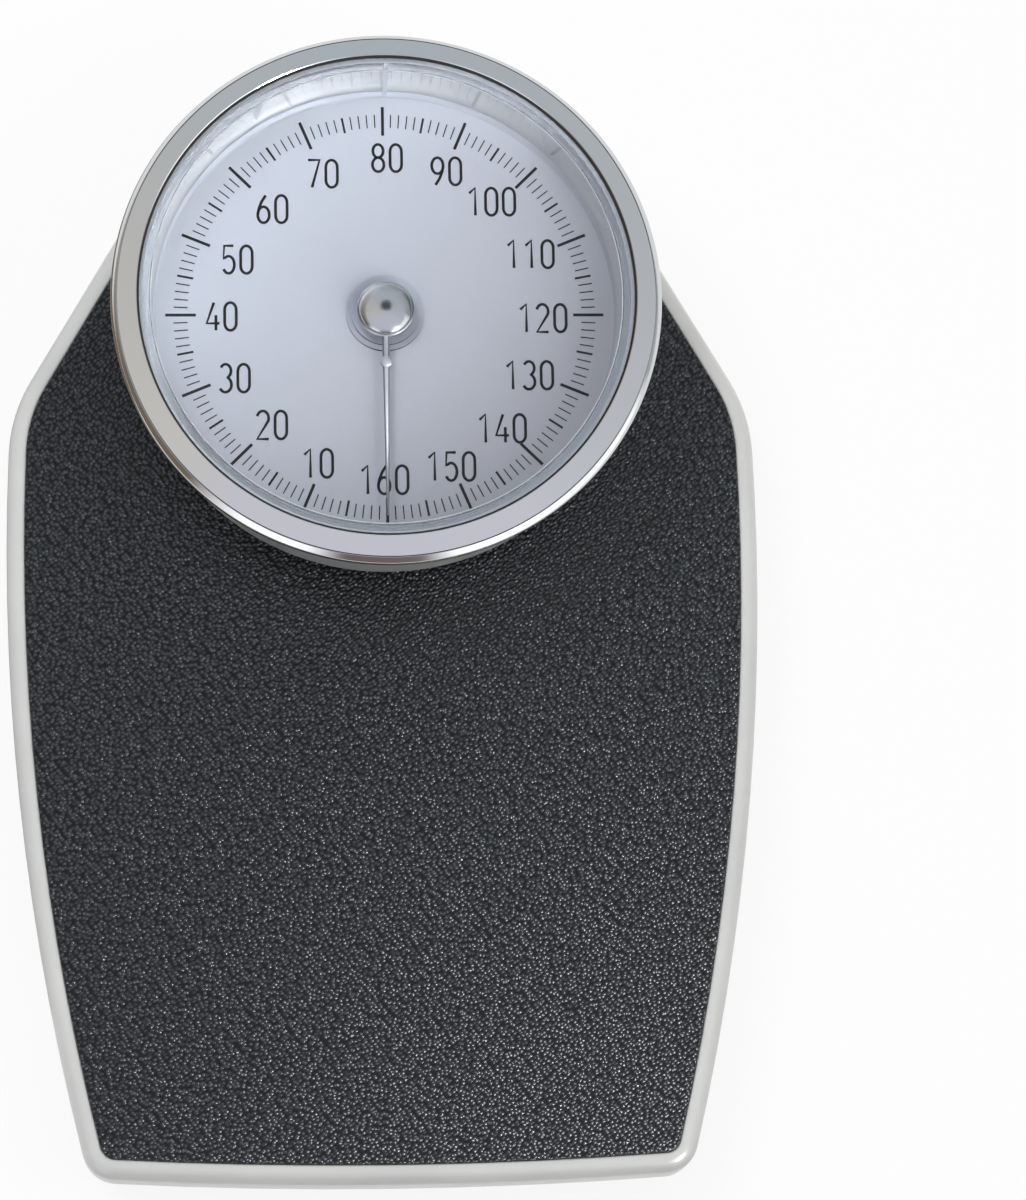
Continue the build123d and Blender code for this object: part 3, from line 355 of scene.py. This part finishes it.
half = figure_width / 2
lower = 2.9
strokes = {
    "0": [bow(half, figure_height - 2.6, half, 2.6, 0, 180) + bow(half, 2.6, half, 2.6, 180, 360)
          + [(figure_width, figure_height - 2.6)]],
    "1": [[(0.5, 8.0), (2.5, figure_height), (2.5, 0)]],
    "2": [bow(half, 7.35, half, 2.55, 165, -25) + [(0, 0), (figure_width, 0)]],
    "3": [bow(half, 7.5, 1.8, 2.4, 150, -75) + bow(half - 0.1, 2.65, 2.05, 2.65, 75, -150)],
    "4": [[(4.3, 2.5), (0, 2.5), (2.4, figure_height)], [(3.1, 5.4), (3.1, 0)]],
    "5": [[(3.6, figure_height), (0.5, figure_height), (0.25, 5.3)]
          + bow(half, 3.1, half, 3.1, 125, -150)],
    "6": [bow(half, lower, half, lower, 0, 360),
          [(0, lower), (0.35, 5.0), (1.3, 7.6), (2.7, figure_height)]],
    "7": [[(0, figure_height), (figure_width, figure_height), (1.3, 0)]],
    "8": [bow(half, 7.5, 1.75, 2.4, 0, 360), bow(half, 2.55, half, 2.55, 0, 360)],
    "9": [bow(half, figure_height - lower, half, lower, 0, 360),
          [(figure_width, figure_height - lower), (3.55, 4.9), (2.6, 2.3), (1.2, 0)]],
}


def figure(sign, left, low):
    """One printed figure, drawn by a round pen and pressed flat on the dial."""
    curve = bpy.data.curves.new("figure", "CURVE")
    curve.dimensions = "3D"
    curve.fill_mode = "FULL"
    made = bpy.data.objects.new("figure", curve)
    for points in strokes[sign]:
        line = curve.splines.new("POLY")
        line.points.add(len(points) - 1)
        for point, (x, y) in zip(line.points, points):
            point.co = ((left + x * stretch_x) * MM, (low + y * stretch_y) * MM, 0, 1)
    curve.bevel_depth = stroke / 2 * MM
    curve.bevel_resolution = 1
    curve.use_fill_caps = True
    bpy.context.scene.collection.objects.link(made)
    pick(made)
    bpy.ops.object.convert(target="MESH")
    return made


# The figures stand upright, their middles (turned from their tick in degrees, mm from
# the spindle) listed one by one so that all of them clear the ticks.
figures = []
pitch = 6.8
middles = [(-1.6, 63.9), (0.0, 61.2), (1.0, 62.4), (0.5, 62.1), (1.0, 60.1), (0.2, 59.9),
           (-0.2, 61.0), (-1.4, 62.8), (-0.4, 62.4), (2.6, 61.3), (1.0, 60.8), (-1.2, 60.1),
           (-1.2, 59.5), (-0.7, 62.6), (-0.4, 64.4), (-1.0, 64.8)]
for label, (off, out) in enumerate(middles, 1):
    text = str(label * 10)
    turn = math.radians(off) - math.pi / 2 - label * decade_angle
    across = (len(text) - 1) * pitch + figure_width * stretch_x
    for number, sign in enumerate(text):
        made = figure(sign, number * pitch - across / 2, -figure_height * stretch_y / 2)
        made.location = head + Vector((math.cos(turn), math.sin(turn), 0)) * out * MM
        made.location.z = dial_face + ink_depth / 2
        made.scale = (1, 1, ink_depth / (stroke * MM))
        figures.append(made)
figures = united(figures)
settle(figures, "dial_figures", "root", ink, "black_rubber")


# The lens is injection moulded in clear acrylic: a flat front on a drafted skirt
# that stands on the dial, with a flange that the bezel clamps on the housing.
def ring_up(corners, segments, closed):
    """Turn a (radius, height) outline about the head axis by drawing out a ring.

    The ring starts at the first corner and is extruded and resized to each next one.
    """
    bpy.ops.object.select_all(action="DESELECT")
    radius, height = corners[0]
    bpy.ops.mesh.primitive_circle_add(vertices=segments, radius=radius * MM,
                                      location=head + Vector((0, 0, height * MM)))
    made = bpy.context.object
    bpy.ops.object.transform_apply(location=True)
    bpy.ops.object.mode_set(mode="EDIT")
    bpy.ops.mesh.select_all(action="SELECT")
    for next_radius, next_height in corners[1:] + corners[:1] * closed:
        rise = (0, 0, (next_height - height) * MM)
        bpy.ops.mesh.extrude_region_move(TRANSFORM_OT_translate={"value": rise})
        share = next_radius / radius
        bpy.ops.transform.resize(value=(share, share, 1), center_override=head)
        radius, height = next_radius, next_height
    bpy.ops.mesh.select_all(action="SELECT")
    bpy.ops.mesh.remove_doubles(threshold=0.001 * MM)
    bpy.ops.mesh.normals_make_consistent(inside=False)
    bpy.ops.object.mode_set(mode="OBJECT")
    return made


def filled(piece):
    """Close the two small holes that an open outline leaves on the axis."""
    pick(piece)
    bpy.ops.object.mode_set(mode="EDIT")
    bpy.ops.mesh.select_mode(type="VERT")
    bpy.ops.mesh.select_all(action="DESELECT")
    bpy.ops.mesh.select_non_manifold()
    bpy.ops.mesh.edge_face_add()
    bpy.ops.mesh.select_all(action="SELECT")
    bpy.ops.mesh.normals_make_consistent(inside=False)
    bpy.ops.object.mode_set(mode="OBJECT")


def soften(piece, corner, setback, segments=6):
    """Round the ring of edges at one (radius, height) corner of a turned piece."""
    radius, height = corner
    pick(piece)
    bpy.ops.object.mode_set(mode="EDIT")
    bpy.ops.mesh.select_all(action="DESELECT")
    bpy.ops.object.mode_set(mode="OBJECT")
    bpy.context.tool_settings.mesh_select_mode = (False, True, False)
    on_corner = []
    for vertex in piece.data.vertices:
        out = math.hypot(vertex.co.x - head.x, vertex.co.y - head.y) / MM
        on_corner.append(abs(out - radius) < 0.01 and abs(vertex.co.z / MM - height) < 0.01)
    for edge in piece.data.edges:
        edge.select = all(on_corner[number] for number in edge.vertices)
    bpy.ops.object.mode_set(mode="EDIT")
    bpy.ops.mesh.bevel(offset=setback * MM, offset_type="OFFSET", segments=segments)
    bpy.ops.object.mode_set(mode="OBJECT")
    bpy.context.tool_settings.mesh_select_mode = (True, False, False)


def polished(piece, angle=30):
    """Shade a turned piece smooth except across its sharp corners."""
    pick(piece)
    bpy.ops.object.shade_smooth_by_angle(angle=math.radians(angle))


acrylic, tree, shader, place = new_finish("clear moulded acrylic")
haze = add(tree, "TexNoise", {"Vector": place}, Scale=1 / (25 * MM), Detail=2.0)
emboss(tree, shader, haze.outputs["Fac"], 0.02 * MM, 0.4)
shader.inputs["Base Color"].default_value = colour("FAFBFD")
shader.inputs["Transmission Weight"].default_value = 1.0
shader.inputs["Roughness"].default_value = 0.015
shader.inputs["IOR"].default_value = 1.49
clear = add(tree, "BsdfTransparent", Color=colour("FAFBFD"))
ray = add(tree, "LightPath")
blend = add(tree, "MixShader", {0: ray.outputs["Is Shadow Ray"], 1: shader.outputs[0],
                                2: clear.outputs[0]})
tree.links.new(blend.outputs[0], tree.nodes["Material Output"].inputs["Surface"])

lens_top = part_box("dial_lens")[1].z / MM
lid = 2.4
underside = lens_top - lid

# The foot is drawn a little above the dial, because two faces in one plane render dark.
foot_gap = 0.1
foot = dial_face / MM + foot_gap
flange_radius = 94.6
foot_out, foot_in = 89.5, 87.0
skirt_out, skirt_in = 91.5, 89.0
eyelet = 0.5
lens_corners = [(eyelet, lens_top), (flange_radius, lens_top), (flange_radius, underside),
                (skirt_out, underside), (foot_out, foot), (foot_in, foot),
                (skirt_in, underside), (eyelet, underside)]
lens = ring_up(lens_corners, 360, closed=False)
filled(lens)
soften(lens, lens_corners[1], 0.5)
soften(lens, lens_corners[6], 0.8)
polished(lens)
settle(lens, "dial_lens_clear", "root", acrylic, "clear_acrylic", "dial_lens")

# The mould is blasted where the flange and the foot bear, and a weld line runs down
# the far side of the skirt: there the acrylic is matt and catches the light.
blasted, tree, shader, place = new_finish("matt textured acrylic")
blast = add(tree, "TexNoise", {"Vector": place}, Scale=1 / (0.6 * MM), Detail=2.0)
blend_colours(tree, shader, blast.outputs["Fac"], (0.3, "DCE4EC"), (0.7, "EAF0F5"))
spread_gloss(tree, shader, blast.outputs["Fac"], 0.45, 0.6)
shader.inputs["Transmission Weight"].default_value = 0.35
shader.inputs["IOR"].default_value = 1.49
weld_width = 1 * MM
weld_radius = 89.6
lens.data.materials.append(blasted)
for facet in lens.data.polygons:
    out = facet.center - head
    radius = math.hypot(out.x, out.y) / MM
    faces_down = facet.normal.z < -0.9
    upright = abs(facet.normal.z) < 0.3
    far_side = 0 < out.x < weld_width and out.y > 0
    bears = faces_down and radius > foot_in
    welded = far_side and upright and radius > weld_radius
    facet.material_index = int(bears or welded)

dress(rubber, "lens_seal")


# The bezel is a spun brass ring with mirror chrome. A band slopes out from the
# lens to a crease, and a rolled lip turns over it down to the skirt on the housing.
chrome, tree, shader, place = new_finish("mirror chrome plate")
wipe = add(tree, "TexNoise", {"Vector": place}, Scale=1 / (12 * MM), Detail=4.0)
shader.inputs["Base Color"].default_value = colour("D2D4D6")
shader.inputs["Metallic"].default_value = 1.0
spread_gloss(tree, shader, wipe.outputs["Fac"], 0.05, 0.14)
emboss(tree, shader, wipe.outputs["Fac"], 0.02 * MM, 0.3)

bezel_low, bezel_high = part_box("bezel_ring")
top = bezel_high.z / MM
low = bezel_low.z / MM
crease = top - 3.3
bezel_corners = [(93.6, top - 0.8), (93.6, top - 0.25), (93.9, top), (100.9, crease + 0.35),
                 (101.15, crease - 0.2), (101.4, crease), (102.3, crease - 0.8),
                 (103.5, crease - 2.2), (103.5, crease - 5.4), (98.6, low + 5), (97.2, low),
                 (96.2, low), (97.6, low + 5), (102.5, crease - 5.0), (102.5, crease - 2.6),
                 (101.0, crease - 1.2), (94.6, top - 0.8)]
bezel = ring_up(bezel_corners, 360, closed=True)
soften(bezel, bezel_corners[6], 0.8)
soften(bezel, bezel_corners[7], 0.6)
soften(bezel, bezel_corners[8], 2.0, 8)
polished(bezel, 40)
settle(bezel, "bezel_ring_chrome", "root", chrome, "chrome", "bezel_ring")


# The pointer is a slim blade stamped from bright aluminium sheet, with a small knot.
# It lies on a clear stepped boss under a domed chrome cap, and all three turn with
# the spindle.
bright, tree, shader, place = new_finish("bright anodised aluminium")
draw = add(tree, "TexNoise", {"Vector": place}, Scale=1 / (1 * MM), Detail=3.0)
blend_colours(tree, shader, draw.outputs["Fac"], (0.3, "D6DAE0"), (0.7, "E4E7EB"))
spread_gloss(tree, shader, draw.outputs["Fac"], 0.38, 0.5)
shader.inputs["Metallic"].default_value = 1.0

# Its edges are rougher than the face, and their colour is painted darker: painted shade and
# painted reflection of a dark room.
shaded, tree, shader, place = new_finish("anodised aluminium edge with painted shade")
edge_mottle = add(tree, "TexNoise", {"Vector": place}, Scale=1 / (0.5 * MM), Detail=2.0)
blend_colours(tree, shader, edge_mottle.outputs["Fac"], (0.3, "7C8088"), (0.7, "92969E"))
spread_gloss(tree, shader, edge_mottle.outputs["Fac"], 0.4, 0.6)
shader.inputs["Metallic"].default_value = 0.6

needle = refined("pointer", "pointer", bright, "silver_pointer")
needle.name = "pointer_bevelled"
needle.data.materials.append(shaded)
# Painted shade: every face but the flat top, so the bevels and sides, takes the darker edge
# finish.
for facet in needle.data.polygons:
    facet.material_index = int(facet.normal.z < 0.9)

boss_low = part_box("pointer_boss")[0].z / MM
boss_step = boss_low + 1.6
boss_high = boss_low + 3.0
boss_bore, boss_radius, step_radius = 1.5, 15.0, 13.1
boss_corners = [(boss_bore, boss_low), (boss_radius, boss_low), (boss_radius, boss_step),
                (step_radius, boss_step), (step_radius, boss_high), (boss_bore, boss_high)]
boss = ring_up(boss_corners, 128, closed=True)
soften(boss, boss_corners[2], 0.4, 4)
soften(boss, boss_corners[4], 0.4, 4)
polished(boss)
settle(boss, "pointer_boss_clear", "pointer", acrylic, "clear_acrylic", "pointer_boss")

cap_low, cap_top = (corner.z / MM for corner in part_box("hub_cap"))
ball = 15.0
dome_radius = 10.1
dome_steps = 24
sweep = math.asin(dome_radius / ball)
cap_rim = cap_top - ball * (1 - math.cos(sweep))
arc = [sweep * number / dome_steps for number in range(1, dome_steps + 1)]
dome = [(ball * math.sin(turn), cap_top - ball * (1 - math.cos(turn))) for turn in arc]
cap_corners = ([(0.1, cap_top)] + dome
               + [(10.15, cap_rim - 1.0), (10.4, cap_rim - 1.0), (10.4, cap_rim - 0.6),
                  (10.8, cap_rim - 0.9), (10.8, cap_low), (0.1, cap_low)])
cap = ring_up(cap_corners, 128, closed=False)
filled(cap)
polished(cap, 50)
settle(cap, "hub_cap_chrome", "pointer", chrome, "chrome", "hub_cap")


# Plain studio: a white floor, a broad lamp above the left shoulder and a smaller one
# above the right of the heel, whose light glints on the mat.
bpy.ops.object.select_all(action="DESELECT")
bpy.ops.mesh.primitive_plane_add(size=6, location=(0, 0, 0))
floor = bpy.context.object
floor.name = "studio_floor"
paper = bpy.data.materials.new("white studio paper")
paper.use_nodes = True
tree = paper.node_tree
tree.nodes.clear()
matt = add(tree, "BsdfDiffuse", Color=colour("F2F2F2"))
glow = add(tree, "Emission", Color=(1, 1, 1, 1), Strength=1.0)
ray = add(tree, "LightPath")
sight = add(tree, "Math", {0: ray.outputs["Is Camera Ray"], 1: ray.outputs["Is Glossy Ray"]},
            operation="MAXIMUM")
through = add(tree, "Math", {0: sight.outputs[0], 1: ray.outputs["Is Transmission Ray"]},
              operation="MAXIMUM")
floor_glow = 0.86
part_glow = add(tree, "Math", {0: through.outputs[0]}, operation="MULTIPLY")
part_glow.inputs[1].default_value = floor_glow
mixed = add(tree, "MixShader", {0: part_glow.outputs[0], 1: matt.outputs[0], 2: glow.outputs[0]})
add(tree, "OutputMaterial", {"Surface": mixed.outputs[0]})
floor.data.materials.append(paper)

# A brown card lies out of the picture at the left and shows only in the chrome.
bpy.ops.mesh.primitive_plane_add(size=1, location=(-1.1, 0.1, 0.0005))
card = bpy.context.object
card.name = "brown_card"
card.scale = (1.9, 0.5, 1)
board = bpy.data.materials.new("brown grey card")
board.use_nodes = True
tree = board.node_tree
tree.nodes.clear()
brown = (0.22, 0.175, 0.13)
kraft = add(tree, "Emission", Color=(*brown, 1), Strength=1.0)
add(tree, "OutputMaterial", {"Surface": kraft.outputs[0]})
card.data.materials.append(board)
for kind in ("camera", "diffuse", "transmission", "shadow"):
    setattr(card, "visible_" + kind, False)

# The surround is white to the eye and pale grey in reflections, with bright windows
# and a brown wall low down, at bearings given in shares of a turn from the west.
world = bpy.data.worlds.new("studio surround")
bpy.context.scene.world = world
world.use_nodes = True
tree = world.node_tree
tree.nodes.clear()
direction = add(tree, "TexCoord").outputs["Generated"]
toward = add(tree, "SeparateXYZ", {0: direction})
bearing = add(tree, "Math", {0: toward.outputs["Y"], 1: toward.outputs["X"]},
              operation="ARCTAN2")
share = add(tree, "MapRange", {"Value": bearing.outputs[0]}, From_Min=-math.pi,
            From_Max=math.pi)
room = add(tree, "ValToRGB", {"Fac": share.outputs[0]})
ceiling = add(tree, "ValToRGB", {"Fac": share.outputs[0]})
walls = [(0.0, brown), (0.09, brown), (0.14, (1.6, 1.6, 1.65)),
         (0.19, (1.6, 1.6, 1.65)), (0.22, (0.2, 0.15, 0.14)), (0.28, (0.22, 0.18, 0.17)),
         (0.31, (1.8, 1.8, 1.8)), (0.42, (1.7, 1.7, 1.7)), (0.47, (1.5, 1.5, 1.5)),
         (0.5, (0.5, 0.5, 0.52)), (0.64, (0.6, 0.62, 0.65)), (0.75, (0.57, 0.64, 0.67)),
         (0.83, (0.62, 0.64, 0.66)), (0.9, (0.5, 0.42, 0.33)), (1.0, brown)]
heights = [(0.0, (0.77, 0.74, 0.69)), (0.04, (0.8, 0.77, 0.72)), (0.12, (0.8, 0.79, 0.86)),
           (0.38, (0.8, 0.79, 0.86)), (0.56, (0.65, 0.66, 0.68)), (0.75, (0.57, 0.64, 0.67)),
           (0.86, (0.66, 0.67, 0.67)), (0.93, (0.72, 0.69, 0.65)), (1.0, (0.77, 0.74, 0.69))]
for ramp, stops in ((room.color_ramp, walls), (ceiling.color_ramp, heights)):
    while len(ramp.elements) < len(stops):
        ramp.elements.new(0.5)
    for element, (where, tint) in zip(ramp.elements, stops):
        element.position = where
        element.color = (*tint, 1)
wall_top, ceiling_edge = 0.42, 0.55
height = add(tree, "MapRange", {"Value": toward.outputs["Z"]}, From_Min=wall_top,
             From_Max=ceiling_edge)
around = add(tree, "MixRGB", {"Fac": height.outputs[0], "Color1": room.outputs["Color"],
                              "Color2": ceiling.outputs["Color"]})

# One soft dark patch of the ceiling is what the flat lens mirrors toward the camera,
# so that the print under it stays black.
patch_middle = (0.036, 0.293, 0.955)
patch_edge, patch_heart = 0.93, 0.999
patch = add(tree, "VectorMath", {0: direction}, operation="DOT_PRODUCT")
patch.inputs[1].default_value = patch_middle
gloom = add(tree, "MapRange", {"Value": patch.outputs["Value"]}, interpolation_type="SMOOTHSTEP",
            From_Min=patch_edge, From_Max=patch_heart)
mirrored = add(tree, "MixRGB", {"Fac": gloom.outputs[0], "Color1": around.outputs[0]},
               Color2=(0.06, 0.06, 0.07, 1))

# The surround lights the scale more from above and the far side than from the heel.
ray = add(tree, "LightPath")
seen = add(tree, "Math", {0: ray.outputs["Is Camera Ray"], 1: ray.outputs["Is Transmission Ray"]},
           operation="MAXIMUM")
brightest = (0.0, 0.6, 1.0)
slant_light = add(tree, "VectorMath", {0: direction}, operation="DOT_PRODUCT")
slant_light.inputs[1].default_value = brightest
sky = add(tree, "MapRange", {"Value": slant_light.outputs["Value"]}, From_Min=-0.3, From_Max=0.9,
          To_Min=0.08, To_Max=0.75)
level = add(tree, "MapRange", {"Value": seen.outputs[0], "To Min": sky.outputs["Result"]},
            To_Max=1.0)
plain = add(tree, "Background", {"Strength": level.outputs["Result"]}, Color=(1, 1, 1, 1))
shiny = add(tree, "Background", {"Color": mirrored.outputs[0]}, Strength=1.0)
surround = add(tree, "MixShader", {0: ray.outputs["Is Glossy Ray"], 1: plain.outputs[0],
                                   2: shiny.outputs[0]})
add(tree, "OutputWorld", {"Surface": surround.outputs[0]})


def lamp(name, place, size, power, tint, *unseen):
    """Square soft lamp aimed at the scale, left out of the kinds of ray that are named."""
    light = bpy.data.lights.new(name, "AREA")
    light.size = size
    light.energy = power
    light.color = colour(tint)[:3]
    made = bpy.data.objects.new(name, light)
    made.location = place
    made.rotation_euler = Vector(place).to_track_quat("Z", "Y").to_euler()
    for kind in unseen:
        setattr(made, "visible_" + kind, False)
    bpy.context.scene.collection.objects.link(made)


lamp("broad_lamp", (-0.8, 0.6, 2.0), 0.8, 17.0, "F8FAFF", "glossy", "transmission")
lamp("right_lamp", (0.9, -0.4, 1.5), 0.6, 6.0, "FFFDFA", "glossy", "transmission")
lamp("glint_lamp", (0.5, -0.6, 0.5), 0.2, 9.0, "FFFFFF", "diffuse", "transmission")

# The camera stands where the photograph's did: nearly overhead, a little in
# front of the heel edge and turned slightly, with the scale left of the middle.
view = bpy.data.cameras.new("photo_camera")
view.lens = 132.0
view.sensor_width = 36.0
camera = bpy.data.objects.new("photo_camera", view)
camera.location = (-0.0600, -0.3741, 1.6867)
camera.rotation_mode = "ZXY"
camera.rotation_euler = (math.radians(13.05), math.radians(-3.80), math.radians(-1.128))
bpy.context.scene.collection.objects.link(camera)
bpy.context.scene.camera = camera
bpy.context.scene.view_settings.view_transform = "Standard"
